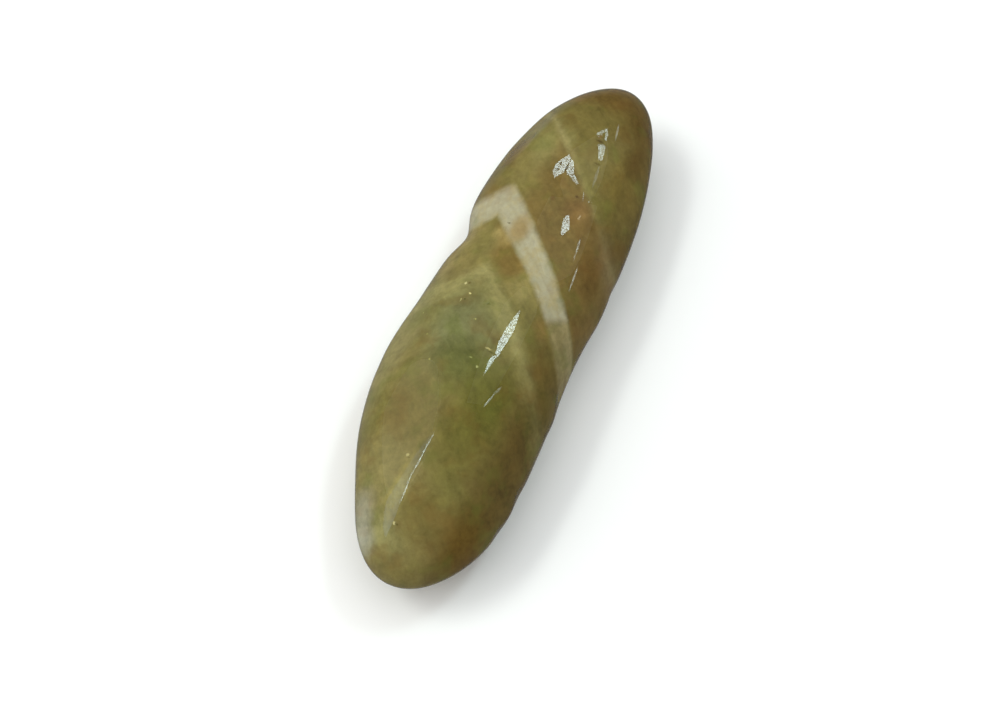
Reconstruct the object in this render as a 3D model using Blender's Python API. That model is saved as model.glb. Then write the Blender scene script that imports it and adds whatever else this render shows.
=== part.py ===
"""A tumbled prasiolite pebble: one long, polished, two-lobed stone lying on its flattest side."""

import math

import bmesh
import bpy
import numpy as np
from mathutils import Matrix

# The pebble lies along X with its small lobe towards +X, and rests on z = 0. Shapes are worked out
# in millimetres about the axis of the stone, and go to metres when the mesh is made.
MM = 0.001
LENGTH = 47.8
SEAT_DEPTH = 5.3  # from the axis down to the worn face that the stone rests on
SEAT_EDGE = 0.1  # height over which that face rounds into the belly

RINGS = 72  # steps from tip to tip
SIDES = 60  # steps round a cross-section

# Cross-sections along the stone. Breadth, crown and belly are those of the body before its two
# ends are rounded off, so at the tips they set how blunt each end is.
# Place along X, breadth, sideways shift, crown above the axis, belly below it.
SECTIONS = (
    (-24.0, 17.9, -0.55, 6.9, 7.2),
    (-19.0, 17.4, -0.65, 6.7, 6.7),
    (-13.0, 16.5, 0.05, 6.4, 6.3),
    (-6.5, 15.2, 0.55, 6.25, 6.1),
    (-0.5, 13.7, 0.35, 5.65, 6.0),
    (5.5, 14.0, 0.05, 5.2, 6.1),
    (11.0, 14.9, 0.05, 5.6, 6.2),
    (17.5, 15.9, -0.10, 6.95, 6.6),
    (24.0, 15.9, -0.95, 8.0, 6.8),
)

# Flats worn by tumbling: the direction each one faces, its distance from the middle of the stone,
# and its softness: the range of one over the radius, in 1/mm, over which it blends into the body.
FLATS = (
    ((-0.19, 0.33, 0.92), 7.62, 0.004),  # upper left of the large end, with a ridge beside it
    ((-0.42, 0.62, 0.66), 11.5, 0.01),  # left shoulder at the large end
    ((0.03, 0.75, 0.66), 6.75, 0.01),  # left flank of the large lobe
    ((-0.08, -0.83, 0.55), 7.25, 0.01),  # right flank of the large lobe
    ((0.22, 0.80, 0.56), 8.55, 0.01),  # left flank of the small lobe
    ((0.10, -0.80, 0.60), 6.85, 0.01),  # right flank of the small lobe
    ((-0.20, 0.66, -0.72), 8.25, 0.01),  # lower left of the large lobe
    ((-0.45, -0.55, -0.70), 12.7, 0.01),  # lower right of the large end
    ((0.35, -0.58, -0.74), 10.4, 0.01),  # lower right of the small lobe
    ((0.55, 0.35, -0.76), 13.9, 0.01),  # under the small end
)

# Hollows: centre on the skin, reach along X, reach across, depth.
HOLLOWS = (
    ((5.7, 6.9, -0.5), 1.8, 4.2, 0.75),  # the notch between the lobes
    ((4.6, 2.2, 5.0), 3.4, 4.8, 0.60),  # the saddle that runs up from it
)


def smooth_curve(at, places, values):
    """A curve through the values with no corner: cubic spans that share their slopes."""
    slopes = np.gradient(values, places)
    span = np.clip(np.searchsorted(places, at) - 1, 0, len(places) - 2)
    width = places[span + 1] - places[span]
    t = np.clip((at - places[span]) / width, 0.0, 1.0)
    first = (1 + 2 * t) * (1 - t) ** 2 * values[span] + t * (1 - t) ** 2 * width * slopes[span]
    last = t * t * (3 - 2 * t) * values[span + 1] + t * t * (t - 1) * width * slopes[span + 1]
    return first + last


def soft_max(a, b, softness):
    """The larger of the two, with the change from one to the other rounded over the softness."""
    near = np.maximum(softness - np.abs(a - b), 0.0) / softness
    return np.maximum(a, b) + near**3 * softness / 6


def body(ring_angle, turn):
    """Axis points and the points of the plain body. ring_angle runs from 0 at the +X tip to pi,
    and turn goes round a cross-section from +Y over the crown."""
    places, breadths, shifts, crowns, bellies = np.array(SECTIONS).T
    x = LENGTH / 2 * np.cos(ring_angle)
    closing = np.sin(ring_angle)
    shift = smooth_curve(x, places, shifts)
    height = np.where(
        np.sin(turn) > 0, smooth_curve(x, places, crowns), smooth_curve(x, places, bellies)
    )
    across = smooth_curve(x, places, breadths) / 2 * closing * np.cos(turn)
    up = height * closing * np.sin(turn)
    axis = np.stack([x, shift, np.zeros_like(x)], axis=-1)
    return axis, axis + np.stack([np.zeros_like(x), across, up], axis=-1)


def worn(axis, skin):
    """The skin with the flats taken off it."""
    ray = skin - axis
    reach = np.maximum(np.linalg.norm(ray, axis=-1), 1e-9)
    ray = ray / reach[..., None]
    shortness = 1 / reach
    for facing, distance, softness in FLATS:
        facing = np.array(facing) / np.linalg.norm(facing)
        room = distance - axis @ facing
        flat_shortness = ray @ facing / np.maximum(room, 0.5)
        shortness = soft_max(shortness, flat_shortness, softness)
    return axis + ray / shortness[..., None]


def hollowed(axis, skin):
    """The skin with the hollows pressed into it."""
    ray = skin - axis
    reach = np.linalg.norm(ray, axis=-1)
    left = reach
    for centre, along, across, depth in HOLLOWS:
        off = skin - np.array(centre)
        spread = (off[..., 0] / along) ** 2 + (off[..., 1] ** 2 + off[..., 2] ** 2) / across**2
        left = left - depth * np.exp(-spread) * np.minimum(reach / across, 1.0)
    return axis + ray * (left / np.maximum(reach, 1e-9))[..., None]


def stone_point(ring_angle, turn):
    """Points of the finished skin in millimetres about the axis of the stone."""
    axis, skin = body(ring_angle, turn)
    skin = hollowed(axis, worn(axis, skin))
    skin[..., 2] = soft_max(skin[..., 2], -SEAT_DEPTH, SEAT_EDGE)
    return skin


def prasiolite():
    """Cloudy olive-green quartz with a tumbled polish."""
    material = bpy.data.materials.new("prasiolite")
    material.use_nodes = True
    shader = material.node_tree.nodes["Principled BSDF"]
    shader.inputs["Base Color"].default_value = (0.21, 0.17, 0.06, 1.0)
    shader.inputs["Roughness"].default_value = 0.12
    shader.inputs["Metallic"].default_value = 0.0
    shader.inputs["IOR"].default_value = 1.54
    return material


def make_stone(collection):
    """Presses a ball with its poles on X into the stone, and stands it on z = 0."""
    mesh = bpy.data.meshes.new("stone")
    ball = bmesh.new()
    bmesh.ops.create_uvsphere(ball, u_segments=SIDES, v_segments=RINGS, radius=1.0)
    bmesh.ops.rotate(ball, verts=ball.verts, matrix=Matrix.Rotation(math.pi / 2, 3, "Y"))
    places = np.array([vertex.co[:] for vertex in ball.verts])
    ring_angle = np.arccos(np.clip(places[:, 0], -1.0, 1.0))
    turn = np.arctan2(places[:, 2], places[:, 1])
    skin = stone_point(ring_angle, turn)
    low, high = skin.min(axis=0), skin.max(axis=0)
    foot = np.array([(low[0] + high[0]) / 2, (low[1] + high[1]) / 2, low[2]])
    for vertex, place in zip(ball.verts, (skin - foot) * MM):
        vertex.co = place
    bmesh.ops.recalc_face_normals(ball, faces=ball.faces)
    ball.to_mesh(mesh)
    ball.free()
    mesh.shade_smooth()
    mesh.materials.append(prasiolite())
    stone = bpy.data.objects.new("stone", mesh)
    collection.objects.link(stone)
    return stone


def main():
    for old in list(bpy.data.objects):
        bpy.data.objects.remove(old)
    collection = bpy.data.collections.new("prasiolite_pebble")
    bpy.context.scene.collection.children.link(collection)
    make_stone(collection)


if __name__ == "__main__":
    main()
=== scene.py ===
"""Finishes the prasiolite pebble: worn skin with facets and pits, banded quartz, and the studio."""

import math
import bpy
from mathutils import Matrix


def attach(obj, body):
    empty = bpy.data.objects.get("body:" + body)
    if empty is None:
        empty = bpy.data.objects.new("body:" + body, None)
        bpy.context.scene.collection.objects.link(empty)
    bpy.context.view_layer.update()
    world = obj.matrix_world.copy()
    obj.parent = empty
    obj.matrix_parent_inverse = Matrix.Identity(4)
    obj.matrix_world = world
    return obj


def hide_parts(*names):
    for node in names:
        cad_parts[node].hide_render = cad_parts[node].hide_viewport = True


bl_info = {
    "name": "Prasiolite pebble",
    "version": (1, 0, 0),
    "blender": (4, 5, 0),
    "location": "View3D > Sidebar > Pebble",
    "description": "Makes a tumbled prasiolite pebble with growth bands and pits, and a plain studio",
    "category": "Object",
}

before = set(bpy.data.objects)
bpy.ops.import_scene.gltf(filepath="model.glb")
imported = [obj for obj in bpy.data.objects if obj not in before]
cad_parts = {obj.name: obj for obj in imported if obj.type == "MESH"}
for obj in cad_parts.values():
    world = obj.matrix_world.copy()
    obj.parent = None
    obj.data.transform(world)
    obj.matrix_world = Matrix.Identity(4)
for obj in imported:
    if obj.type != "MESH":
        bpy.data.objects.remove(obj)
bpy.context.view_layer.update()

import bmesh
import bpy
import numpy as np
from mathutils import Matrix, Vector

MM = 0.001
MM_IN_METRE = 1000.0

# The form, in millimetres about the axis of the stone, as in the solid.
LENGTH = 47.8
SEAT_DEPTH = 5.3
SEAT_EDGE = 0.1
RINGS = 380
SIDES = 260
# Half the thickness that the stone counts as when its rings are spaced, and the steps of that walk.
HALF_THICKNESS = LENGTH / 7
WALK_STEPS = 2000
# The least room from the axis to a worn flat.
LEAST_ROOM = 0.5
# Place along X, breadth, sideways shift, crown above the axis, belly below it.
SECTIONS = (
    (-24.0, 17.9, -0.55, 6.9, 7.2),
    (-19.0, 17.4, -0.65, 6.7, 6.7),
    (-13.0, 16.5, 0.05, 6.4, 6.3),
    (-6.5, 15.2, 0.55, 6.25, 6.1),
    (-0.5, 13.7, 0.35, 5.65, 6.0),
    (5.5, 14.0, 0.05, 5.2, 6.1),
    (11.0, 14.9, 0.05, 5.6, 6.2),
    (17.5, 15.9, -0.10, 6.95, 6.6),
    (24.0, 15.9, -0.95, 8.0, 6.8),
)
# Flats worn by tumbling: facing, distance from the middle, softness.
FLATS = (
    ((-0.19, 0.33, 0.92), 7.62, 0.004),
    ((-0.42, 0.62, 0.66), 11.5, 0.01),
    ((0.03, 0.75, 0.66), 6.75, 0.01),
    ((-0.08, -0.83, 0.55), 7.25, 0.01),
    ((0.22, 0.80, 0.56), 8.55, 0.01),
    ((0.10, -0.80, 0.60), 6.85, 0.01),
    ((-0.20, 0.66, -0.72), 8.25, 0.01),
    ((-0.45, -0.55, -0.70), 12.7, 0.01),
    ((0.35, -0.58, -0.74), 10.4, 0.01),
    ((0.55, 0.35, -0.76), 13.9, 0.01),
)
# Hollows: centre on the skin, reach along X, reach across, depth.
HOLLOWS = (
    ((5.7, 6.9, -0.5), 1.8, 4.2, 0.75),
    ((4.6, 2.2, 5.0), 3.4, 4.8, 0.60),
)
# Local flats worn on the crown, in millimetres from the middle of the seat: a point on the flat,
# its facing, softness of its edge, reach along the stone, reach across.
CUTS = (
    ((7.7, -2.4, 9.79), (-0.045, -0.165, 0.985), 0.03, 3.2, 4.0),
    ((12.8, -1.7, 10.135), (0.005, -0.165, 0.986), 0.02, 2.8, 2.5),
)
# A local flat is cut in full over this part of its reach, on skin no farther from it than this.
CUT_FULL = 0.6
CUT_LIMIT = 2.0
# Dull places on the crown, drawn in the material: centre, roughness, softness of the edge in
# millimetres, corners along and across the stone.
DULL_FACETS = (
    (
        (-9.0, 2.2, 9.6),
        0.36,
        0.6,
        (
            (1.8, 1.0),
            (1.1, 2.1),
            (-1.6, 2.5),
            (-4.1, 2.3),
            (-6.0, 1.6),
            (-9.9, -0.9),
            (-9.8, -1.6),
            (-8.2, -2.4),
            (-6.2, -2.45),
            (-1.3, -1.4),
            (1.5, 0.1),
        ),
    ),
    (
        (13.2, -1.8, 10.1),
        1.0,
        0.01,
        (
            (1.5, 1.65),
            (3.45, 0.55),
            (3.45, -0.55),
            (2.25, -1.1),
            (0.05, -1.5),
            (-1.55, -1.5),
            (-2.95, -1.05),
            (-3.15, 0.55),
            (-2.0, 1.4),
            (-0.25, 1.75),
        ),
    ),
    (
        (6.9, -2.5, 9.7),
        1.0,
        0.01,
        (
            (3.0, 2.5),
            (3.4, 1.15),
            (4.0, -1.3),
            (1.6, -1.65),
            (-0.85, -1.9),
            (-2.5, -1.75),
            (-3.7, -1.0),
            (-3.7, 0.1),
            (-1.4, 1.9),
            (0.65, 2.55),
        ),
    ),
    (
        (-4.1, -2.1, 11.0),
        1.0,
        0.01,
        (
            (5.55, 0.65),
            (5.85, -0.7),
            (3.8, -1.25),
            (0.05, -1.2),
            (-3.2, -1.0),
            (-5.3, -0.4),
            (-5.65, 0.65),
            (-3.3, 1.0),
            (0.0, 1.3),
            (3.45, 1.35),
        ),
    ),
)
# Polished facets that catch the key lamp, drawn in the material and not in the mesh: centre,
# roughness, corners along and across the stone.
FACETS = (
    ((17.2, -1.6, 10.0), 0.19, ((-0.35, 0.4), (0.25, 0.05), (0.6, -0.3), (0.25, -0.35), (-0.45, 0.25))),
    ((17.1, -2.0, 9.9), 0.19, ((0.55, 0.05), (0.0, -0.15), (-0.5, -0.2), (-0.45, -0.05), (0.15, 0.1))),
    ((15.4, -2.2, 10.0), 0.17, ((0.6, 0.5), (0.8, 0.0), (0.6, -0.2), (-0.65, -0.45), (-0.75, -0.1))),
    (
        (12.9, 0.2, 10.3),
        0.085,
        (
            (1.15, -0.2),
            (0.9, -0.45),
            (0.05, -0.5),
            (-0.6, -0.4),
            (-1.3, 0.05),
            (-0.8, 0.4),
            (-0.1, 0.45),
            (0.5, 0.2),
        ),
    ),
    (
        (12.9, -0.6, 10.3),
        0.095,
        ((0.85, 0.25), (0.6, -0.05), (-0.35, -0.45), (-0.65, 0.05), (-0.35, 0.25)),
    ),
    ((12.1, -1.3, 10.2), 0.15, ((0.2, 0.65), (0.45, 0.2), (-0.2, -0.5), (-0.3, -0.25), (-0.1, 0.15))),
    (
        (8.2, -2.2, 9.9),
        0.075,
        ((0.95, 0.15), (0.6, -0.05), (-0.2, -0.4), (-1.05, -0.1), (-0.85, 0.1), (0.4, 0.4)),
    ),
    (
        (-3.2, -2.0, 10.9),
        0.075,
        (
            (2.55, -0.05),
            (1.75, -0.2),
            (0.55, -0.3),
            (-0.3, -0.25),
            (-2.0, -0.05),
            (-1.9, 0.25),
            (-0.9, 0.4),
            (0.45, 0.35),
            (1.75, 0.15),
        ),
    ),
    ((-6.1, -1.7, 11.1), 0.075, ((1.0, -0.35), (-1.1, 0.0), (-0.65, 0.05), (0.1, 0.15), (0.7, 0.05))),
    (
        (-15.1, 0.3, 10.1),
        0.42,
        (
            (2.0, -0.05),
            (1.85, -0.2),
            (1.05, -0.25),
            (-1.95, -0.2),
            (-1.8, 0.5),
            (-0.6, 0.45),
            (0.9, 0.2),
        ),
    ),
    (
        (-19.1, 0.7, 9.1),
        0.37,
        (
            (2.2, 0.35),
            (2.05, -0.3),
            (-1.3, -0.7),
            (-2.35, -0.7),
            (-1.85, -0.2),
            (-0.6, 0.35),
            (0.1, 0.55),
            (1.1, 0.5),
        ),
    ),
)
# Long thin polished facets, drawn the same way and pointed at both ends: the two ends,
# half width, roughness.
SLIVERS = (
    ((18.85, -2.45, 9.4), (17.0, -2.85, 9.7), 0.09, 0.3),
    ((14.25, -2.6, 10.0), (12.1, -2.85, 9.9), 0.13, 0.34),
    ((11.5, -2.35, 10.0), (10.6, -2.65, 10.0), 0.06, 0.24),
    ((9.55, -2.8, 9.8), (9.05, -3.05, 9.7), 0.03, 0.3),
    ((7.65, -3.7, 9.6), (6.2, -3.9, 9.5), 0.09, 0.2),
    ((6.45, -3.85, 9.5), (5.55, -3.95, 9.4), 0.055, 0.22),
    ((5.5, -4.45, 9.3), (3.0, -4.65, 9.3), 0.075, 0.2),
    ((-7.25, -3.3, 10.6), (-8.4, -2.95, 10.7), 0.09, 0.31),
    ((-8.15, -3.05, 10.7), (-9.55, -2.7, 10.7), 0.075, 0.17),
    ((-12.75, -0.1, 10.7), (-15.25, 0.1, 10.2), 0.065, 0.17),
    ((-14.35, 0.0, 10.4), (-16.85, 0.25, 9.8), 0.06, 0.12),
    ((-16.35, 0.25, 9.9), (-18.95, 0.15, 9.3), 0.065, 0.14),
)
# The way in which the material turns the polished facets at the middle of the stone, so that
# they catch the key lamp, and how much its X falls in each millimetre towards +X.
POLISHED_FACING = (0.03, -0.235, 0.97)
FACING_FALL = 0.0022
# How far below its centre a facet still shows in the material, and the last part, where it fades.
FACET_DEPTH = 1.5
FACET_FADE = 0.5
SLIVER_EDGE = 0.015
# Shallow dents along the flank: centre, reach, depth.
DENTS = (
    ((6.4, -7.2, 4.6), 0.8, 0.10),
    ((3.2, -7.2, 5.0), 1.4, -0.06),
    ((-4.2, -7.1, 5.9), 0.8, 0.14),
    ((-6.2, -7.2, 4.8), 1.0, -0.07),
    ((-13.0, -7.2, 5.4), 0.8, 0.12),
    ((-14.8, -7.2, 5.2), 1.0, -0.06),
    ((-16.6, -7.1, 5.0), 0.7, 0.10),
    ((21.0, -4.9, 6.6), 0.9, 0.08),
)
# Slow swells of the polish: direction of the wave, wavelength, height, where it starts.
SWELLS = (
    ((1.0, 0.3, 0.2), 9.5, 0.030, 0.4),
    ((0.4, 1.0, -0.3), 6.4, 0.022, 1.9),
    ((-0.7, 0.6, 0.8), 5.1, 0.016, 3.3),
    ((0.9, -0.8, 0.4), 3.7, 0.010, 5.2),
    ((0.2, 0.7, 1.0), 2.9, 0.007, 0.9),
    ((-0.8, -0.3, 0.6), 2.3, 0.005, 2.6),
)
# Heights above the seat between which the swells come in.
SWELL_START = 0.05
SWELL_FULL = 1.2


def unit(direction):
    direction = np.array(direction, dtype=float)
    return direction / np.linalg.norm(direction)


def smooth_curve(at, places, values):
    """A curve through the values with no corner: cubic spans that share their slopes."""
    slopes = np.gradient(values, places)
    span = np.clip(np.searchsorted(places, at) - 1, 0, len(places) - 2)
    width = places[span + 1] - places[span]
    t = np.clip((at - places[span]) / width, 0.0, 1.0)
    first = (1 + 2 * t) * (1 - t) ** 2 * values[span] + t * (1 - t) ** 2 * width * slopes[span]
    last = t * t * (3 - 2 * t) * values[span + 1] + t * t * (t - 1) * width * slopes[span + 1]
    return first + last


def smooth_step(value, low, high):
    t = np.clip((value - low) / (high - low), 0.0, 1.0)
    return t * t * (3 - 2 * t)


def soft_max(a, b, softness):
    """The larger of the two, with the change from one to the other rounded over the softness."""
    near = np.maximum(softness - np.abs(a - b), 0.0) / softness
    return np.maximum(a, b) + near**3 * softness / 6


def plain_body(ring_angle, turn):
    """Axis points and the points of the plain body. ring_angle runs from 0 at the +X tip to pi,
    and turn goes round a cross-section from +Y over the crown."""
    places, breadths, shifts, crowns, bellies = np.array(SECTIONS).T
    x = LENGTH / 2 * np.cos(ring_angle)
    closing = np.sin(ring_angle)
    shift = smooth_curve(x, places, shifts)
    height = np.where(
        np.sin(turn) > 0, smooth_curve(x, places, crowns), smooth_curve(x, places, bellies)
    )
    across = smooth_curve(x, places, breadths) / 2 * closing * np.cos(turn)
    up = height * closing * np.sin(turn)
    axis = np.stack([x, shift, np.zeros_like(x)], axis=-1)
    return axis, axis + np.stack([np.zeros_like(x), across, up], axis=-1)


def worn(axis, skin):
    """The skin with the flats taken off it."""
    ray = skin - axis
    reach = np.maximum(np.linalg.norm(ray, axis=-1), 1e-9)
    ray = ray / reach[..., None]
    shortness = 1 / reach
    for facing, distance, softness in FLATS:
        facing = unit(facing)
        room = distance - axis @ facing
        flat_shortness = ray @ facing / np.maximum(room, LEAST_ROOM)
        shortness = soft_max(shortness, flat_shortness, softness)
    return axis + ray / shortness[..., None]


def hollowed(axis, skin):
    """The skin with the hollows pressed into it."""
    ray = skin - axis
    reach = np.linalg.norm(ray, axis=-1)
    left = reach
    for centre, along, across, depth in HOLLOWS:
        off = skin - np.array(centre)
        spread = (off[..., 0] / along) ** 2 + (off[..., 1] ** 2 + off[..., 2] ** 2) / across**2
        left = left - depth * np.exp(-spread) * np.minimum(reach / across, 1.0)
    return axis + ray * (left / np.maximum(reach, 1e-9))[..., None]


def evenly_spaced(ring_angle):
    """Moves the rings so that steps along the skin from tip to tip are about equal."""
    angle = np.linspace(0.0, math.pi, WALK_STEPS)
    pace = np.hypot(LENGTH / 2 * np.sin(angle), HALF_THICKNESS * np.cos(angle))
    walked = np.cumsum(pace)
    walked = (walked - walked[0]) / (walked[-1] - walked[0])
    return np.interp(ring_angle / math.pi, walked, angle)


def stone_skin(ring_angle, turn):
    """The skin in millimetres, standing on z = 0 over the middle of the seat."""
    axis, skin = plain_body(ring_angle, turn)
    skin = hollowed(axis, worn(axis, skin))
    skin[..., 2] = soft_max(skin[..., 2], -SEAT_DEPTH, SEAT_EDGE)
    low, high = skin.min(axis=0), skin.max(axis=0)
    return skin - np.array([(low[0] + high[0]) / 2, (low[1] + high[1]) / 2, low[2]])


def swollen(skin, normals, strength):
    """The skin with slow swells on it, fading out at the seat."""
    lift = np.zeros(len(skin))
    for direction, wavelength, height, start in SWELLS:
        lift += height * np.sin(skin @ unit(direction) * 2 * math.pi / wavelength + start)
    lift *= strength * smooth_step(skin[:, 2], SWELL_START, SWELL_FULL)
    return skin + normals * lift[:, None]


def dented(skin, normals):
    """The skin with its shallow dents, and low bumps where the depth is negative."""
    sunk = np.zeros(len(skin))
    for centre, reach, depth in DENTS:
        sunk += depth * np.exp(-np.sum((skin - np.array(centre)) ** 2, axis=-1) / reach**2)
    return skin - normals * sunk[:, None]


def facet_axes(facing):
    """Two directions in a facet: the first as near as can be to the length of the stone."""
    along = unit(np.array([1.0, 0.0, 0.0]) - facing[0] * facing)
    return along, np.cross(facing, along)


def cut_flat(skin):
    """The skin with its local flats taken off the crown."""
    for point, facing, softness, reach_along, reach_across in CUTS:
        facing = unit(facing)
        along, across = facet_axes(facing)
        off = skin - np.array(point)
        height = off @ facing
        near = np.hypot(off @ along / reach_along, off @ across / reach_across)
        hold = (1 - smooth_step(near, CUT_FULL, 1.0)) * (np.abs(height) < CUT_LIMIT)
        above = soft_max(height, 0.0, softness)
        skin = skin - (hold * above)[:, None] * facing
    return skin


class Value:
    """A number, place or colour somewhere in a material, reckoned with as in ordinary arithmetic."""

    def __init__(self, tree, socket):
        self.tree = tree
        self.socket = socket

    def node(self, kind, settings, *inputs, output=0):
        """Adds a node. Its settings are set first, then its sockets from numbers or values."""
        made = self.tree.nodes.new(kind)
        for name, setting in settings.items():
            setattr(made, name, setting)
        for place, given in inputs:
            if isinstance(given, Value):
                self.tree.links.new(given.socket, made.inputs[place])
            else:
                made.inputs[place].default_value = given
        return Value(self.tree, made.outputs[output])

    def is_vector(self):
        return self.socket.type in ("VECTOR", "RGBA")

    def reckon(self, operation, first, second=0.0):
        pair = [first, second]
        if any(isinstance(one, Value) and one.is_vector() for one in pair):
            for index, one in enumerate(pair):
                if isinstance(one, (int, float)):
                    pair[index] = (one, one, one)
            return self.node(
                "ShaderNodeVectorMath", {"operation": operation}, (0, pair[0]), (1, pair[1])
            )
        return self.node("ShaderNodeMath", {"operation": operation}, (0, pair[0]), (1, pair[1]))

    def __add__(self, other):
        return self.reckon("ADD", self, other)

    def __radd__(self, other):
        return self.reckon("ADD", other, self)

    def __sub__(self, other):
        return self.reckon("SUBTRACT", self, other)

    def __rsub__(self, other):
        return self.reckon("SUBTRACT", other, self)

    def __mul__(self, other):
        return self.reckon("MULTIPLY", self, other)

    def __rmul__(self, other):
        return self.reckon("MULTIPLY", other, self)

    def __truediv__(self, other):
        return self.reckon("DIVIDE", self, other)

    def __abs__(self):
        return self.reckon("ABSOLUTE", self)

    def at_most(self, other):
        return self.reckon("MINIMUM", self, other)

    def at_least(self, other):
        return self.reckon("MAXIMUM", self, other)

    def dot(self, direction):
        return self.node(
            "ShaderNodeVectorMath", {"operation": "DOT_PRODUCT"}, (0, self), (1, direction), output=1
        )

    def length(self):
        return self.node("ShaderNodeVectorMath", {"operation": "LENGTH"}, (0, self), output=1)

    def rise(self, low, high, start=0.0, end=1.0):
        """Goes smoothly from start to end as this value goes from low to high."""
        return self.node(
            "ShaderNodeMapRange",
            {"interpolation_type": "SMOOTHSTEP"},
            (0, self),
            (1, low),
            (2, high),
            (3, start),
            (4, end),
        )

    def noise(self, size, detail=2.0, roughness=0.5, distortion=0.0, output=0):
        """Smooth random clouds of about that size in millimetres."""
        return self.node(
            "ShaderNodeTexNoise",
            {"noise_dimensions": "3D"},
            ("Vector", self),
            ("Scale", 1.0 / size),
            ("Detail", detail),
            ("Roughness", roughness),
            ("Distortion", distortion),
            output=output,
        )

    def toward(self, colour, amount):
        """This colour mixed towards another one."""
        return self.node(
            "ShaderNodeMix", {"data_type": "RGBA"}, (0, amount), (6, self), (7, colour), output=2
        )


def tone(red, green, blue):
    """Linear light from a colour's screen values, 0 to 255."""
    return tuple(
        round(c / 12.92 if c <= 0.04045 else ((c + 0.055) / 1.055) ** 2.4, 4)
        for c in (red / 255, green / 255, blue / 255)
    )


def solid(colour):
    return (*colour, 1.0)


def cloud(place, centre, reach, core=0.2):
    """1 in the middle of a soft-edged patch, 0 outside its reach in X, Y and Z."""
    off = (place - centre) * tuple(1.0 / r for r in reach)
    return off.length().rise(core, 1.0, 1.0, 0.0)


# Growth faces of the crystal, in two families that meet in a ridge: direction, distance.
MAIN_RIGHT = ((0.677, -0.715, -0.175), 2.95)
MAIN_LEFT = ((0.649, 0.705, 0.288), 11.7)
UPPER_LINE = ((0.681, -0.732, 0.011), 9.86)
BAND_WIDTH = 2.0
INNER_DEPTH = 4.8
# In this direction the main band goes from its thin tail to its wide cream part.
BAND_TURN = (0.766, 0.64, 0.0)

# Screen colours of the growth zones, the stains, a painted shade on one flank and the mottling.
OVER_LINE = (120, 99, 54)
RUST = (132, 103, 60)
SHADED_FLANK = (112, 87, 44)
UNDER_BAND = (126, 103, 54)
BAND_APEX = (164, 146, 90)
INNER_BAND = (154, 147, 94)
CREAM_BRIGHT = (170, 158, 118)
ORANGE = (158, 136, 88)
THIN_LINE = (162, 152, 100)
FLANK_LINE = (154, 144, 114)
BROWN_MOTTLE = (118, 82, 40)
GREEN_MOTTLE = (100, 110, 46)

# How the quartz bends light and scatters it below the skin: the part of the light, its reach for
# red, green and blue, and the unit of that reach in metres.
QUARTZ_IOR = 1.544
CLOUDINESS = 0.25
SCATTER_REACH = (1.0, 0.85, 0.45)
SCATTER_UNIT = 0.0015
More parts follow.
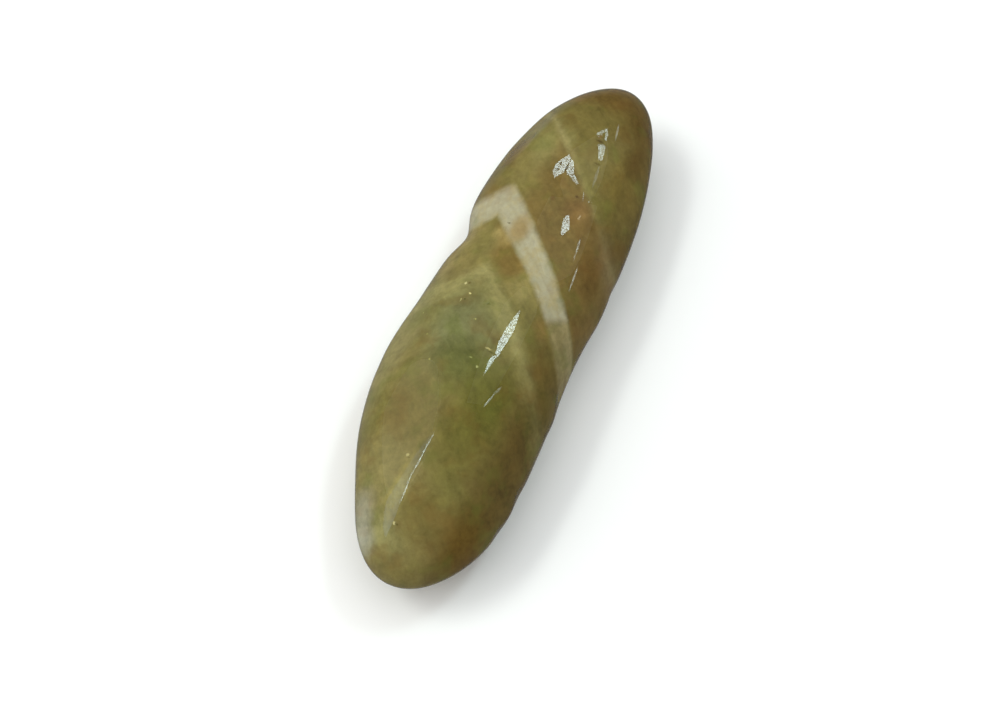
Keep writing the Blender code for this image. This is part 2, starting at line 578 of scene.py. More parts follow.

# Clouds of colour in the quartz, and some painted light: centre and reach in millimetres, screen
# colour, strength. The dark brown clouds far out on the -Y side are partly the stone's own brown and
# partly painted shade; one pale cloud along the crown at the -X end is a painted glare of a lamp, and
# two pale clouds on the +Y rim at that end are a painted sheen.
CLOUDS_AND_PAINTED_LIGHT = (
    ((21.0, -4.5, 7.0), (6.0, 5.5, 6.0), (104, 80, 34), 0.85),
    ((22.0, 0.5, 7.5), (6.0, 6.0, 6.0), (108, 84, 40), 0.85),
    ((17.6, -0.5, 9.9), (4.0, 4.5, 3.5), (116, 102, 54), 0.7),
    ((14.5, 4.6, 7.8), (6.5, 3.6, 4.4), (130, 116, 66), 0.75),
    ((14.4, 1.4, 10.1), (2.8, 2.4, 2.2), (160, 152, 96), 0.7),
    ((11.2, 5.6, 7.0), (3.4, 2.8, 4.0), (112, 97, 52), 0.75),
    ((14.0, -5.0, 8.6), (4.6, 2.6, 4.0), (128, 110, 54), 0.8),
    ((5.4, 5.2, 7.4), (2.6, 2.4, 3.4), (150, 134, 82), 0.8),
    ((2.6, 5.2, 7.4), (2.6, 2.4, 3.6), (154, 138, 82), 0.75),
    ((-0.9, 2.3, 10.4), (2.4, 2.4, 3.0), (108, 104, 58), 0.65),
    ((1.6, -1.0, 10.2), (2.4, 1.6, 2.2), (160, 146, 90), 0.7),
    ((-4.2, 1.6, 11.0), (5.5, 4.6, 5.0), (124, 124, 82), 0.9),
    ((-6.8, 0.2, 11.2), (3.4, 3.6, 3.4), (96, 98, 50), 0.8),
    ((-9.0, -2.8, 10.6), (4.6, 3.4, 3.5), (96, 95, 38), 0.9),
    ((-6.0, 6.4, 6.5), (9.0, 3.2, 6.0), (140, 131, 82), 0.8),
    # Dark clouds on the -Y side: partly the stone's own brown, partly painted shade.
    ((-12.5, -6.2, 8.0), (8.0, 3.4, 6.0), (96, 79, 38), 0.85),
    ((-5.5, -6.2, 8.4), (4.0, 2.2, 5.0), (106, 90, 44), 0.7),
    ((-12.0, 1.8, 10.2), (5.0, 4.6, 4.0), (120, 108, 60), 0.7),
    ((-12.0, -2.4, 10.4), (5.0, 3.6, 4.0), (106, 100, 44), 0.7),
    ((-17.5, 3.0, 9.0), (5.5, 4.0, 4.0), (140, 130, 80), 0.85),
    ((-21.5, 0.3, 7.9), (3.6, 3.4, 4.0), (146, 142, 92), 0.8),
    # Painted glare of a lamp along the crown at the -X end.
    ((-18.0, 0.7, 9.4), (4.2, 1.0, 2.4), (158, 147, 82), 0.65),
    # Painted sheen on the +Y rim at the -X end.
    ((-20.8, 3.0, 6.4), (4.6, 1.9, 3.0), (156, 154, 132), 0.8),
    ((-22.2, 2.2, 6.8), (2.0, 1.8, 2.4), (176, 175, 154), 0.75),
    ((-19.5, -1.8, 9.0), (3.6, 3.4, 4.0), (118, 105, 56), 0.7),
    ((-23.2, -0.8, 6.6), (2.6, 4.0, 4.0), (120, 109, 62), 0.7),
    # Dark cloud on the -Y side: partly the stone's own brown, partly painted shade.
    ((-20.0, -5.6, 7.6), (5.5, 3.2, 5.0), (98, 76, 30), 0.9),
    ((13.5, 4.7, 8.4), (3.2, 1.3, 2.6), (104, 84, 38), 0.8),
    # Dark clouds on the -Y side: partly the stone's own brown, partly painted shade.
    ((16.3, -5.0, 8.2), (2.6, 1.6, 2.6), (94, 70, 30), 0.5),
    ((-7.3, -6.4, 8.2), (3.0, 1.6, 3.0), (88, 80, 28), 0.6),
    ((20.6, -1.0, 9.0), (1.8, 2.2, 2.2), (104, 80, 34), 0.4),
    ((-1.3, -4.2, 9.8), (1.8, 1.2, 1.8), (142, 108, 60), 0.35),
)

# Painted glints and nicks: the pale specks are painted highlights where small chips catch the light,
# the dark ones darken small nicks, which their depth also presses into the bump: centre, reach, screen
# colour, strength, depth.
PAINTED_GLINTS_AND_NICKS = (
    ((0.03, 2.97, 10.22), (0.20, 0.12, 0.5), (206, 198, 140), 0.8, 0.01),
    ((0.10, 2.72, 10.22), (0.16, 0.18, 0.5), (92, 76, 34), 0.6, 0.02),
    ((-0.87, 2.24, 10.63), (0.12, 0.12, 0.5), (216, 206, 140), 0.9, 0.01),
    ((-1.67, 2.71, 10.58), (0.20, 0.09, 0.5), (186, 184, 120), 0.6, 0.01),
    ((-1.50, 2.40, 10.58), (0.12, 0.14, 0.5), (66, 72, 26), 0.7, 0.02),
    ((-1.27, 0.43, 10.99), (0.16, 0.16, 0.5), (82, 86, 30), 0.6, 0.02),
    ((-2.97, 0.83, 11.12), (0.12, 0.12, 0.5), (190, 186, 110), 0.7, 0.01),
    ((-4.96, -1.16, 11.18), (0.10, 0.40, 0.5), (196, 184, 120), 0.7, 0.01),
    ((-5.16, -1.46, 11.15), (0.10, 0.36, 0.5), (84, 80, 34), 0.7, 0.03),
    ((-6.74, -0.94, 11.24), (0.14, 0.12, 0.5), (190, 190, 116), 0.6, 0.01),
    ((-6.21, -0.22, 11.29), (0.10, 0.16, 0.5), (174, 176, 104), 0.5, 0.01),
    ((-7.45, 2.80, 10.79), (0.12, 0.10, 0.5), (186, 180, 100), 0.6, 0.01),
    ((-15.14, 1.19, 9.81), (0.16, 0.14, 0.5), (200, 190, 130), 0.6, 0.01),
    ((-15.30, 1.02, 9.81), (0.12, 0.16, 0.5), (92, 82, 36), 0.5, 0.02),
    ((-20.33, 0.04, 8.74), (0.16, 0.14, 0.5), (206, 196, 140), 0.8, 0.01),
    ((-20.36, -0.24, 8.74), (0.14, 0.14, 0.5), (84, 74, 32), 0.6, 0.02),
    ((16.30, -1.78, 10.05), (0.14, 0.44, 0.6), (78, 62, 30), 0.7, 0.03),
    ((16.72, -1.62, 10.02), (0.34, 0.30, 0.6), (122, 100, 58), 0.7, 0.02),
    ((14.30, -2.40, 10.00), (0.14, 0.40, 0.6), (96, 84, 44), 0.7, 0.03),
    ((12.86, -0.30, 10.28), (0.60, 0.08, 0.6), (66, 58, 40), 0.8, 0.03),
    ((13.04, 0.28, 10.18), (0.14, 0.10, 0.6), (78, 80, 74), 0.8, 0.03),
    ((12.44, 0.34, 10.19), (0.14, 0.12, 0.6), (70, 70, 62), 0.8, 0.03),
    ((9.29, -2.91, 9.78), (0.30, 0.08, 0.6), (206, 190, 150), 0.6, 0.01),
    ((9.83, -0.31, 10.23), (0.36, 0.22, 0.6), (104, 74, 44), 0.5, 0.02),
    ((10.78, -2.08, 10.08), (0.14, 0.20, 0.6), (78, 56, 36), 0.7, 0.02),
    ((6.69, 2.14, 9.48), (0.10, 0.16, 0.6), (96, 84, 40), 0.7, 0.02),
    ((-5.38, 3.92, 10.38), (0.12, 0.10, 0.5), (160, 156, 84), 0.5, 0.01),
    ((-3.27, 5.25, 9.11), (0.12, 0.10, 0.5), (176, 168, 96), 0.5, 0.01),
)


def beyond(place, face):
    """Millimetres by which a place lies outside a growth face."""
    direction, distance = face
    return place.dot(direction) - distance


def stripe(off, half_width, softness):
    """1 along a line, 0 away from it."""
    return abs(off).rise(half_width - softness, half_width + softness, 1.0, 0.0)


def polished_facing(x):
    """Which way the polished facets are turned at a place along the stone."""
    along, across, up = POLISHED_FACING
    return unit((along - FACING_FALL * x, across, up))


def facet_mask(place, centre, corners, edge):
    """1 inside the corners of a facet, 0 outside; its sides run straight down through the skin."""
    facing = polished_facing(centre[0])
    along, across = facet_axes(facing)
    centre = np.array(centre)
    corners = np.array([centre + along * a + across * b for a, b in corners])
    middle = corners.mean(axis=0)
    lowest = float(centre @ facing) - FACET_DEPTH
    mask = place.dot(tuple(facing)).rise(lowest, lowest + FACET_FADE)
    for first, second in zip(corners, np.roll(corners, -1, axis=0)):
        inward = unit(np.cross(facing, second - first))
        if (middle - first) @ inward < 0:
            inward = -inward
        room = float(first @ inward)
        mask = mask * place.dot(tuple(inward)).rise(room - edge, room + edge)
    return mask


def sliver_mask(place, first, second, half_width):
    """1 inside a thin facet that tapers to a point at both of its ends, 0 outside."""
    facing = polished_facing(first[0])
    first, second = np.array(first), np.array(second)
    middle = (first + second) / 2
    along = unit(second - first)
    across = unit(np.cross(facing, along))
    off = place - tuple(middle)
    far = off.dot(tuple(along)) * (2 / float(np.linalg.norm(second - first)))
    room = (1.0 - far * far) * half_width - abs(off.dot(tuple(across)))
    depth = off.dot(tuple(facing)).rise(-FACET_DEPTH, FACET_FADE - FACET_DEPTH)
    return room.rise(-SLIVER_EDGE, SLIVER_EDGE) * depth


def prasiolite(settings):
    """Cloudy olive-green quartz with pale growth bands, brown stains and a tumbled polish, with some
    painted light in its colour: painted glints, a painted sheen on one rim, a painted glare at one end
    and painted shade on the brown side.

    The polished facets are part of the material: inside their outlines the shading normal is turned.
    """
    material = bpy.data.materials.new("prasiolite")
    material.use_nodes = True
    tree = material.node_tree
    tree.nodes.clear()
    start = Value(tree, None)
    metres = start.node("ShaderNodeTexCoord", {}, output=3)
    place = metres * MM_IN_METRE
    drift = place.noise(3.2, 2.0, 0.5, output=1) - 0.5
    flutter = place.noise(0.7, 2.0, 0.5, output=1) - 0.5
    inside = place + drift * 1.1 + flutter * 0.25
    banded = place + drift * 0.25 + flutter * 0.18

    slow = place.noise(5.5, 2.0, 0.5)
    fine = inside.noise(1.5, 4.0, 0.6)
    grit = inside.noise(0.45, 3.0, 0.65)
    hue = inside.noise(2.6, 3.0, 0.55)

    # Body colour
    colour = start.node(
        "ShaderNodeMix",
        {"data_type": "RGBA"},
        (0, slow.rise(0.35, 0.65)),
        (6, solid(settings.olive)),
        (7, solid(settings.moss)),
        output=2,
    )
    # Browner towards -Y: partly the stone's own brown, partly painted shade on the side away from the
    # lamps.
    colour = colour.toward(solid(settings.brown), inside.dot((0.0, -1.0, 0.0)).rise(1.5, 7.5, 0.0, 0.8))
    # Colour clouds, among them painted shade, a painted sheen and a painted glare.
    for centre, reach, shade, strength in CLOUDS_AND_PAINTED_LIGHT:
        colour = colour.toward(solid(tone(*shade)), cloud(inside, centre, reach) * strength)

    # Growth bands, by the depth below the front where the two families of faces meet
    right = beyond(banded, MAIN_RIGHT)
    left = beyond(banded, MAIN_LEFT)
    front = right.at_least(left)
    upper = beyond(banded, UPPER_LINE)
    inward = inside.dot((0.0, 1.0, 0.0))
    along = start.node("ShaderNodeCombineXYZ", {}, (0, front))
    zones = (along + inside * 0.12).noise(0.55, 2.0, 0.6)
    veil = (fine - 0.5) * 0.45 + (zones - 0.5) * 0.4 + (grit - 0.5) * 0.08

    stained = upper.rise(-0.4, 0.3, 1.0, 0.0) * right.rise(-0.1, 0.3) * inward.rise(0.6, 2.8, 1.0, 0.0)
    colour = colour.toward(solid(tone(*OVER_LINE)), stained * 0.75)
    rust = cloud(inside, (9.8, -2.5, 10.2), (1.7, 1.8, 2.5))
    colour = colour.toward(solid(tone(*RUST)), rust * 0.7)
    # Painted shade on the -Y flank of the neck.
    shaded = cloud(inside, (6.2, -5.4, 8.8), (4.6, 1.8, 3.5))
    colour = colour.toward(solid(tone(*SHADED_FLANK)), shaded * 0.8)
    under = front.rise(-4.8, -3.4) * front.rise(-2.2, -1.8, 1.0, 0.0)
    under = under * cloud(inside, (3.6, 0.7, 9.9), (3.6, 2.4, 3.0), 0.4)
    colour = colour.toward(solid(tone(*UNDER_BAND)), under * 0.8)
    apex = cloud(inside, (5.6, 2.1, 9.4), (1.5, 1.6, 2.0))
    colour = colour.toward(solid(tone(*BAND_APEX)), apex * 0.85)

    inner_front = right.at_least(left + 1.2) + INNER_DEPTH
    inner = inner_front.rise(-1.9, -0.2) * inner_front.rise(-0.3, 0.8, 1.0, 0.0)
    inner = inner * (0.7 + veil) * inside.dot((1.0, 0.0, 0.0)).rise(-8.0, -2.0, 0.35, 1.0)
    colour = colour.toward(solid(tone(*INNER_BAND)), inner.at_most(1.0).at_least(0.0))

    edge = right.rise(-0.36, 0.24, 1.0, 0.0) * left.rise(-0.55, 0.3, 1.0, 0.0)
    body = front.rise(-BAND_WIDTH - 0.34, -BAND_WIDTH + 0.28) * edge
    wide = banded.dot(BAND_TURN).rise(-3.5, -2.5)
    rim = front.rise(-1.3, -0.4) * edge
    tail = (body * 0.78 + rim * 0.42) * (0.9 + veil) * (1.0 - wide)
    colour = colour.toward(solid(settings.pale_veil), tail.at_most(1.0).at_least(0.0))
    cream = start.node(
        "ShaderNodeMix",
        {"data_type": "RGBA"},
        (0, fine.rise(0.42, 0.66)),
        (6, solid(settings.cream)),
        (7, solid(tone(*CREAM_BRIGHT))),
        output=2,
    )
    colour = colour.toward(cream, (body * wide * (0.9 + veil * 0.8)).at_most(1.0).at_least(0.0))
    orange = cloud(banded, (6.3, 1.1, 10.0), (1.9, 1.2, 2.0), 0.3)
    colour = colour.toward(solid(tone(*ORANGE)), orange * 0.85)

    line = stripe(upper, 0.18, 0.42)
    line = line * (0.8 + veil) * inward.rise(-3.0, 1.5, 0.25, 0.95)
    colour = colour.toward(solid(tone(*THIN_LINE)), line)
    flank = inside.dot((0.0, -1.0, 0.0)).rise(3.8, 6.6) * stripe(upper + 0.3, 0.8, 0.8)
    colour = colour.toward(solid(tone(*FLANK_LINE)), flank * 0.22)

    # Mottling
    calm = (body * wide).rise(0.0, 1.0, 1.0, 0.55)
    lift = 1.0 + ((fine - 0.5) * 0.85 + (grit - 0.5) * 0.6 + (zones - 0.5) * 0.32) * calm
    colour = colour * lift * settings.depth_of_tone
    colour = colour.toward(solid(tone(*BROWN_MOTTLE)), hue.rise(0.52, 0.70) * 0.24)
    colour = colour.toward(solid(tone(*GREEN_MOTTLE)), hue.rise(0.48, 0.30) * 0.3)
    # Painted glints, pale specks standing for highlights on small chips, and darkened nicks.
    speckled = place + (place.noise(0.2, 2.0, 0.6, output=1) - 0.5) * 0.3
    dents = 0.0
    for centre, reach, shade, strength, depth in PAINTED_GLINTS_AND_NICKS:
        painted_glint_or_nick = cloud(speckled, centre, reach, 0.3)
        colour = colour.toward(solid(tone(*shade)), painted_glint_or_nick * strength)
        dents = painted_glint_or_nick * depth + dents

    # Polish
    # The state is a vector: 1 on a polished facet, then the roughness
    roughness = 0.04 + (grit - 0.4).at_least(0.0) * 0.18
    state = start.node("ShaderNodeCombineXYZ", {}, (1, roughness))
    for centre, rough, edge, corners in DULL_FACETS:
        state = state + ((0.0, rough, 0.0) - state) * facet_mask(place, centre, corners, edge)
    for centre, rough, corners in FACETS:
        state = state + ((1.0, rough, 0.0) - state) * facet_mask(place, centre, corners, rough**2)
    for first, second, half_width, rough in SLIVERS:
        state = state + ((1.0, rough, 0.0) - state) * sliver_mask(place, first, second, half_width)
    polished = state.dot((1.0, 0.0, 0.0))
    grain = place.noise(0.13, 1.0, 0.5).rise(0.5, 0.6)
    roughness = state.dot((0.0, 1.0, 0.0)) + polished * grain * 0.16
    along_stone = place.dot((1.0, 0.0, 0.0))
    along, across, up = POLISHED_FACING
    along = along - along_stone * FACING_FALL
    turned = start.node("ShaderNodeCombineXYZ", {}, (0, along), (1, across), (2, up))
    turned = start.node(
        "ShaderNodeVectorTransform",
        {"vector_type": "NORMAL", "convert_from": "OBJECT", "convert_to": "WORLD"},
        (0, turned),
    )
    facing_out = start.node("ShaderNodeNewGeometry", {}, output=1)
    facing_out = facing_out + (turned - facing_out) * polished
    facing_out = start.node("ShaderNodeVectorMath", {"operation": "NORMALIZE"}, (0, facing_out))
    peel = place.noise(0.8, 2.0, 0.5) * 0.005 + place.noise(0.16, 2.0, 0.6) * 0.0125 - dents
    bump = start.node(
        "ShaderNodeBump",
        {},
        ("Strength", 1.0),
        ("Distance", MM),
        ("Height", peel),
        ("Normal", facing_out),
    )

    shader = tree.nodes.new("ShaderNodeBsdfPrincipled")
    tree.links.new(colour.socket, shader.inputs["Base Color"])
    tree.links.new(roughness.socket, shader.inputs["Roughness"])
    tree.links.new(bump.socket, shader.inputs["Normal"])
    shader.inputs["IOR"].default_value = QUARTZ_IOR
    shader.inputs["Subsurface Weight"].default_value = CLOUDINESS
    shader.inputs["Subsurface Radius"].default_value = SCATTER_REACH
    shader.inputs["Subsurface Scale"].default_value = SCATTER_UNIT
    out = tree.nodes.new("ShaderNodeOutputMaterial")
    tree.links.new(shader.outputs[0], out.inputs[0])
    return material


PIT_SEED = 7


def pit_tree(material):
    """Geometry nodes that scatter round pits over a mesh and press them into it."""
    tree = bpy.data.node_groups.new("pits", "GeometryNodeTree")
    face = tree.interface
    face.new_socket("Geometry", in_out="INPUT", socket_type="NodeSocketGeometry")
    for name, kind in (
        ("Density", "NodeSocketFloat"),
        ("Smallest", "NodeSocketFloat"),
        ("Largest", "NodeSocketFloat"),
        ("Depth", "NodeSocketFloat"),
        ("Seed", "NodeSocketInt"),
    ):
        face.new_socket(name, in_out="INPUT", socket_type=kind)
    face.new_socket("Geometry", in_out="OUTPUT", socket_type="NodeSocketGeometry")
    given = tree.nodes.new("NodeGroupInput").outputs
    start = Value(tree, given[0])

    def field(name):
        return Value(tree, given[name])

    scatter = start.node(
        "GeometryNodeDistributePointsOnFaces",
        {"distribute_method": "RANDOM"},
        ("Mesh", start),
        ("Density", field("Density")),
        ("Seed", field("Seed")),
    )
    place = start.node("GeometryNodeInputPosition", {})
    number = start.node("GeometryNodeInputIndex", {})
    nearest = start.node("GeometryNodeSampleNearest", {"domain": "POINT"}, (0, scatter), (1, place))
    centre = start.node(
        "GeometryNodeSampleIndex",
        {"data_type": "FLOAT_VECTOR", "domain": "POINT"},
        ("Geometry", scatter),
        ("Value", place),
        ("Index", nearest),
    )
    spread = start.node(
        "FunctionNodeRandomValue",
        {"data_type": "FLOAT"},
        (2, 0.0),
        (3, 1.0),
        ("ID", number),
        ("Seed", field("Seed")),
        output=1,
    )
    pick = start.node(
        "GeometryNodeSampleIndex",
        {"data_type": "FLOAT", "domain": "POINT"},
        ("Geometry", scatter),
        ("Value", spread),
        ("Index", nearest),
    )
    radius = field("Smallest") + (field("Largest") - field("Smallest")) * pick * pick
    ratio = ((place - centre).length() / radius).at_most(1.0)
    bowl = (1.0 - ratio * ratio) * (1.0 - ratio * ratio)
    normal = start.node("GeometryNodeInputNormal", {})
    push = start.node(
        "ShaderNodeVectorMath",
        {"operation": "SCALE"},
        (0, normal),
        ("Scale", bowl * radius * field("Depth") * -1.0),
    )
    moved = start.node("GeometryNodeSetPosition", {}, ("Geometry", start), ("Offset", push))
    whole = start.node("GeometryNodeRealizeInstances", {}, (0, moved))
    dressed = start.node("GeometryNodeSetMaterial", {}, ("Geometry", whole), ("Material", material))
    out = tree.nodes.new("NodeGroupOutput")
    tree.links.new(dressed.socket, out.inputs[0])
    return tree


def pitted(blank, settings, material):
    """A plain mesh of the blank with the pits pressed in."""
    tree = pit_tree(material)
    modifier = blank.modifiers.new("pits", "NODES")
    modifier.node_group = tree
    sizes = {
        "Density": settings.pits_per_square_metre,
        "Smallest": settings.smallest_pit,
        "Largest": settings.largest_pit,
        "Depth": settings.pit_depth,
        "Seed": PIT_SEED,
    }
    for item in tree.interface.items_tree:
        if item.in_out == "INPUT" and item.name in sizes:
            modifier[item.identifier] = sizes[item.name]
    blank.update_tag()
    graph = bpy.context.evaluated_depsgraph_get()
    mesh = bpy.data.meshes.new_from_object(blank.evaluated_get(graph))
    blank.modifiers.remove(modifier)
    bpy.data.node_groups.remove(tree)
    return mesh


def stone_blank(settings):
    """The pebble before its pits: a ball with its poles on X, pressed to the worn form."""
    mesh = bpy.data.meshes.new("pebble_blank")
    ball = bmesh.new()
    bmesh.ops.create_uvsphere(ball, u_segments=SIDES, v_segments=RINGS, radius=1.0)
    bmesh.ops.rotate(ball, verts=ball.verts, matrix=Matrix.Rotation(math.pi / 2, 3, "Y"))
    places = np.array([vertex.co[:] for vertex in ball.verts])
    bmesh.ops.recalc_face_normals(ball, faces=ball.faces)
    ball.to_mesh(mesh)
    ball.free()
    ring_angle = evenly_spaced(np.arccos(np.clip(places[:, 0], -1.0, 1.0)))
    turn = np.arctan2(places[:, 2], places[:, 1])
    skin = stone_skin(ring_angle, turn)
    mesh.vertices.foreach_set("co", skin.ravel())
    mesh.update()
    normals = np.zeros(len(skin) * 3)
    mesh.vertices.foreach_get("normal", normals)
    normals = normals.reshape(-1, 3)
    skin = cut_flat(dented(swollen(skin, normals, settings.swell_strength), normals))
    skin[:, 2] = np.maximum(skin[:, 2], 0.0)
    mesh.vertices.foreach_set("co", (skin * MM).ravel())
    mesh.update()
    mesh.shade_smooth()
    blank = bpy.data.objects.new("pebble_blank", mesh)
    bpy.context.scene.collection.objects.link(blank)
    return blank


class PebbleSettings(bpy.types.PropertyGroup):
    """Sizes and colours of the stone."""

    swell_strength: bpy.props.FloatProperty(
        name="Swells",
        description="Strength of the slow swells in the polish",
        default=0.5,
        min=0.0,
        max=3.0,
    )
    pits_per_square_metre: bpy.props.FloatProperty(
        name="Pits", description="Pits in each square metre of skin", default=60000.0, min=0.0
    )
    smallest_pit: bpy.props.FloatProperty(
        name="Smallest pit",
        description="Radius of the smallest pit",
        default=0.00016,
        subtype="DISTANCE",
        unit="LENGTH",
    )
    largest_pit: bpy.props.FloatProperty(
        name="Largest pit",
        description="Radius of the largest pit",
        default=0.0004,
        subtype="DISTANCE",
        unit="LENGTH",
    )
    pit_depth: bpy.props.FloatProperty(
        name="Pit depth",
        description="Depth of a pit as a part of its radius",
        default=0.06,
        subtype="FACTOR",
    )
    olive: bpy.props.FloatVectorProperty(
        name="Olive",
        description="Main colour of the quartz",
        subtype="COLOR",
        default=tone(128, 116, 68),
    )
    moss: bpy.props.FloatVectorProperty(
        name="Moss",
        description="Greener clouds in the quartz",
        subtype="COLOR",
        default=tone(120, 113, 60),
    )
    # Brown of the -Y side: partly the stone's own colour, partly painted shade on the side away from
    # the lamps.
    brown: bpy.props.FloatVectorProperty(
        name="Brown",
        description="Iron-stained side of the stone",
        subtype="COLOR",
        default=tone(102, 85, 42),
    )
    cream: bpy.props.FloatVectorProperty(
        name="Cream", description="Milky growth bands", subtype="COLOR", default=tone(180, 174, 145)
    )
    depth_of_tone: bpy.props.FloatProperty(
        name="Depth of tone",
        description="Lightness of the quartz as a whole",
        default=0.95,
        min=0.0,
        subtype="FACTOR",
    )
    pale_veil: bpy.props.FloatVectorProperty(
        name="Pale veil", description="Thin milky veils", subtype="COLOR", default=tone(150, 138, 95)
    )


class StudioSettings(bpy.types.PropertyGroup):
    """The floor, lights and camera."""

    floor_tone: bpy.props.FloatVectorProperty(
        name="Floor", description="Colour of the floor", subtype="COLOR", default=(0.95, 0.95, 0.94)
    )
    lens: bpy.props.FloatProperty(
        name="Lens", description="Focal length of the camera, mm", default=90.0
    )
    camera_distance: bpy.props.FloatProperty(
        name="Camera distance",
        description="From the camera to the stone",
        default=0.2019,
        subtype="DISTANCE",
        unit="LENGTH",
    )
    key_radiance: bpy.props.FloatProperty(
        name="Key", description="Brightness of the key lamp's face", default=12.0
    )


# Where the camera looks from and at, and its directions: away from the stone, to the right in its
# picture and up in its picture.
LOOK_ELEVATION = math.radians(65.0)
LOOK_AZIMUTH = math.radians(23.57)
AIM = Vector((-2.30, -0.98, 4.92)) * MM
SENSOR_WIDTH = 36.0
NEAREST_SEEN = 0.01
FARTHEST_SEEN = 50.0
TO_CAMERA = Vector(
    (
        -math.cos(LOOK_AZIMUTH) * math.cos(LOOK_ELEVATION),
        -math.sin(LOOK_AZIMUTH) * math.cos(LOOK_ELEVATION),
        math.sin(LOOK_ELEVATION),
    )
)
PICTURE_RIGHT = Vector((math.sin(LOOK_AZIMUTH), -math.cos(LOOK_AZIMUTH), 0.0))
PICTURE_UP = TO_CAMERA.cross(PICTURE_RIGHT)


def softbox(
    name,
    direction,
    distance,
    width,
    length,
    radiance,
    colour,
    along=PICTURE_UP,
    in_gloss=False,
    shape="RECTANGLE",
):
    """A lamp with a flat face that looks at the stone, with its length lying along a direction."""
    lamp = bpy.data.lights.new(name, "AREA")
    lamp.shape = shape
    lamp.size = width
    lamp.size_y = length
    lamp.color = colour
    lamp.energy = radiance * math.pi * width * length
    away = direction.normalized()
    lengthwise = (along - along.dot(away) * away).normalized()
    crosswise = lengthwise.cross(away)
    holder = bpy.data.objects.new(name, lamp)
    turn = Matrix((crosswise, lengthwise, away)).transposed().to_4x4()
    holder.matrix_world = Matrix.Translation(away * distance) @ turn
    holder.visible_glossy = in_gloss
    holder.visible_camera = False
    bpy.context.scene.collection.objects.link(holder)


def camera_direction(right, up, toward):
    return (PICTURE_RIGHT * right + PICTURE_UP * up + TO_CAMERA * toward).normalized()


def make_lamps(settings):
    softbox(
        "key",
        Vector((0.45, -0.25, 0.84)),
        distance=3.0,
        width=0.4,
        length=0.8,
        along=Vector((1.0, 0.0, 0.0)),
        radiance=settings.key_radiance,
        colour=(0.78, 0.97, 1.0),
        in_gloss=True,
        shape="ELLIPSE",
    )
    softbox(
        "strip",
        camera_direction(-0.5, 0.43, 0.76),
        distance=3.0,
        width=0.5,
        length=1.2,
        radiance=7.5,
        colour=(0.92, 1.0, 0.95),
        shape="ELLIPSE",
    )
    softbox(
        "overhead",
        Vector((0.0, 0.0, 1.0)),
        distance=2.0,
        width=3.2,
        length=3.2,
        radiance=1.2,
        colour=(1.0, 1.0, 1.0),
    )
    softbox(
        "left_fill",
        camera_direction(-0.8, 0.25, 0.5),
        distance=2.4,
        width=2.2,
        length=2.2,
        radiance=1.5,
        colour=(1.0, 1.0, 0.98),
    )


def background(start, colour, strength=1.0):
    return start.node("ShaderNodeBackground", {}, ("Color", solid(colour)), ("Strength", strength))


def make_world():
    """The camera sees a pale backdrop. The stone is lit by a dim room, but its mirrored rays see
    a dark corner above and a paler table below."""
    world = bpy.data.worlds.new("studio")
    world.use_nodes = True
    tree = world.node_tree
    tree.nodes.clear()
    start = Value(tree, None)
    seen = start.node("ShaderNodeLightPath", {}, output=0)
    mirrored = start.node("ShaderNodeLightPath", {}, output=3)
    room = background(start, (1.0, 1.0, 0.99), 0.24)
    corner = background(start, (1.0, 1.0, 0.99), 0.05)
    backdrop = background(start, (0.98, 0.98, 0.97))
    table = background(start, (1.0, 0.99, 0.95), 0.23)
    toward = start.node("ShaderNodeTexCoord", {}, output=0)
    low = toward.dot((0.0, 0.0, 1.0)).rise(0.0, -0.4)
    low = low * toward.dot((0.0, 1.0, 0.0)).rise(-0.5, 0.4, 0.3, 1.0)
    reflected = start.node("ShaderNodeMixShader", {}, (0, low), (1, corner), (2, table))
    around = start.node("ShaderNodeMixShader", {}, (0, mirrored), (1, room), (2, reflected))
    either = start.node("ShaderNodeMixShader", {}, (0, seen), (1, around), (2, backdrop))
    out = tree.nodes.new("ShaderNodeOutputWorld")
    tree.links.new(either.socket, out.inputs[0])
    bpy.context.scene.world = world


FLOOR_HALF_WIDTH = 6.0
FLOOR_SQUARES = 8
# The darker patches of the floor's paint, and the size of the patches in millimetres.
PATCH_SHADE = 0.985
PATCH_SIZE = 90.0


def floor_paint(colour):
    """Matt pale paint with a trace of unevenness."""
    material = bpy.data.materials.new("floor_paint")
    material.use_nodes = True
    tree = material.node_tree
    shader = tree.nodes["Principled BSDF"]
    start = Value(tree, None)
    place = start.node("ShaderNodeTexCoord", {}, output=3)
    patchy = start.node(
        "ShaderNodeMix",
        {"data_type": "RGBA"},
        (0, (place * MM_IN_METRE).noise(PATCH_SIZE, 2.0)),
        (6, solid(tuple(c * PATCH_SHADE for c in colour))),
        (7, solid(colour)),
        output=2,
    )
    tree.links.new(patchy.socket, shader.inputs["Base Color"])
    shader.inputs["Roughness"].default_value = 0.9
    shader.inputs["Specular IOR Level"].default_value = 0.1
    return material


class PEBBLE_OT_stone(bpy.types.Operator):
    """Makes the pebble: its worn form, facets, pits and cloudy banded quartz"""

    bl_idname = "pebble.stone"
    bl_label = "Make stone"

    def execute(self, context):
        settings = context.scene.pebble
        material = prasiolite(settings)
        blank = stone_blank(settings)
        mesh = pitted(blank, settings, material)
        mesh.name = "pebble"
        bpy.data.objects.remove(blank)
        mesh.shade_smooth()
        if len(mesh.polygons) == 0:
            raise RuntimeError("The stone came out empty")
        pebble = bpy.data.objects.new("pebble", mesh)
        context.scene.collection.objects.link(pebble)
        if not mesh.materials:
            mesh.materials.append(material)
        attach(pebble, "root")
        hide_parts("stone")
        return {"FINISHED"}


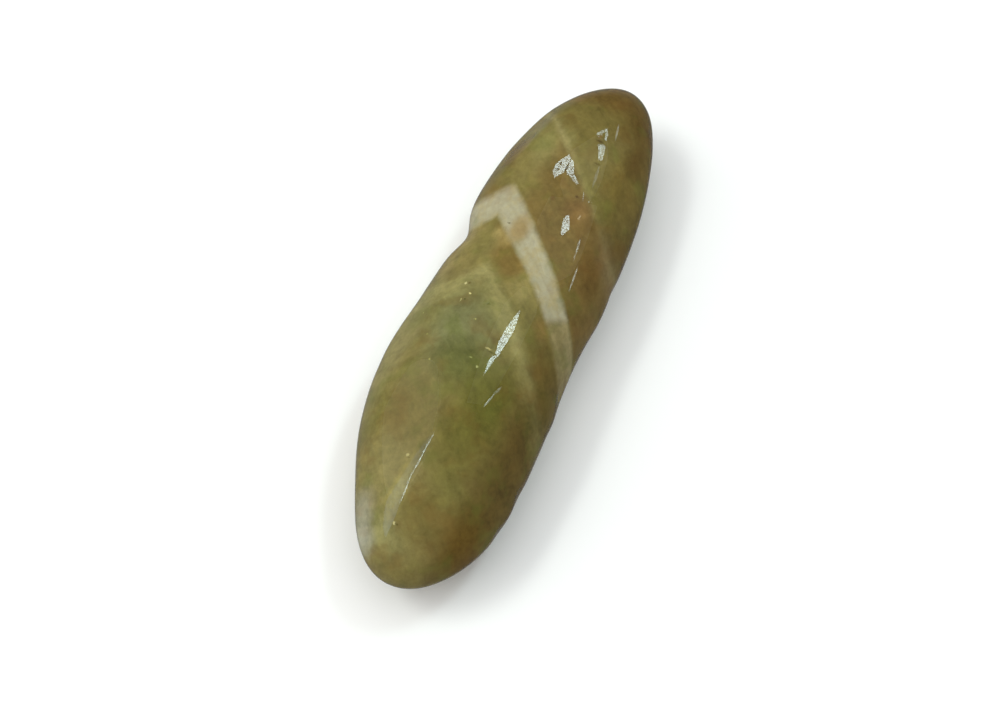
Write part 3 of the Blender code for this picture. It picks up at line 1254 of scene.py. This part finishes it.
class PEBBLE_OT_stage(bpy.types.Operator):
    """Makes the floor, the lamps, the world and the camera"""

    bl_idname = "pebble.stage"
    bl_label = "Make stage"

    def execute(self, context):
        settings = context.scene.studio
        mesh = bpy.data.meshes.new("floor")
        sheet = bmesh.new()
        bmesh.ops.create_grid(
            sheet, x_segments=FLOOR_SQUARES, y_segments=FLOOR_SQUARES, size=FLOOR_HALF_WIDTH
        )
        sheet.to_mesh(mesh)
        sheet.free()
        mesh.materials.append(floor_paint(settings.floor_tone))
        floor = bpy.data.objects.new("floor", mesh)
        context.scene.collection.objects.link(floor)
        floor.visible_glossy = False
        make_world()
        make_lamps(settings)
        lens = bpy.data.cameras.new("camera")
        lens.lens = settings.lens
        lens.sensor_width = SENSOR_WIDTH
        lens.clip_start = NEAREST_SEEN
        lens.clip_end = FARTHEST_SEEN
        camera = bpy.data.objects.new("camera", lens)
        turn = Matrix((PICTURE_RIGHT, PICTURE_UP, TO_CAMERA)).transposed().to_4x4()
        camera.matrix_world = Matrix.Translation(AIM + TO_CAMERA * settings.camera_distance) @ turn
        context.scene.collection.objects.link(camera)
        context.scene.camera = camera
        context.scene.view_settings.view_transform = "Standard"
        return {"FINISHED"}


class PEBBLE_PT_panel(bpy.types.Panel):
    """Lists what the pebble's tools make"""

    bl_idname = "PEBBLE_PT_panel"
    bl_label = "Prasiolite pebble"
    bl_space_type = "VIEW_3D"
    bl_region_type = "UI"
    bl_category = "Pebble"

    def draw(self, context):
        layout = self.layout
        for group in (context.scene.pebble, context.scene.studio):
            for name in group.bl_rna.properties.keys():
                if name not in ("rna_type", "name"):
                    layout.prop(group, name)
        layout.operator(PEBBLE_OT_stone.bl_idname)
        layout.operator(PEBBLE_OT_stage.bl_idname)


CLASSES = (PebbleSettings, StudioSettings, PEBBLE_OT_stone, PEBBLE_OT_stage, PEBBLE_PT_panel)


def register():
    for kind in CLASSES:
        bpy.utils.register_class(kind)
    bpy.types.Scene.pebble = bpy.props.PointerProperty(type=PebbleSettings)
    bpy.types.Scene.studio = bpy.props.PointerProperty(type=StudioSettings)


def unregister():
    del bpy.types.Scene.studio
    del bpy.types.Scene.pebble
    for kind in reversed(CLASSES):
        bpy.utils.unregister_class(kind)


def main():
    register()
    bpy.ops.pebble.stone()
    bpy.ops.pebble.stage()


if __name__ == "__main__":
    main()
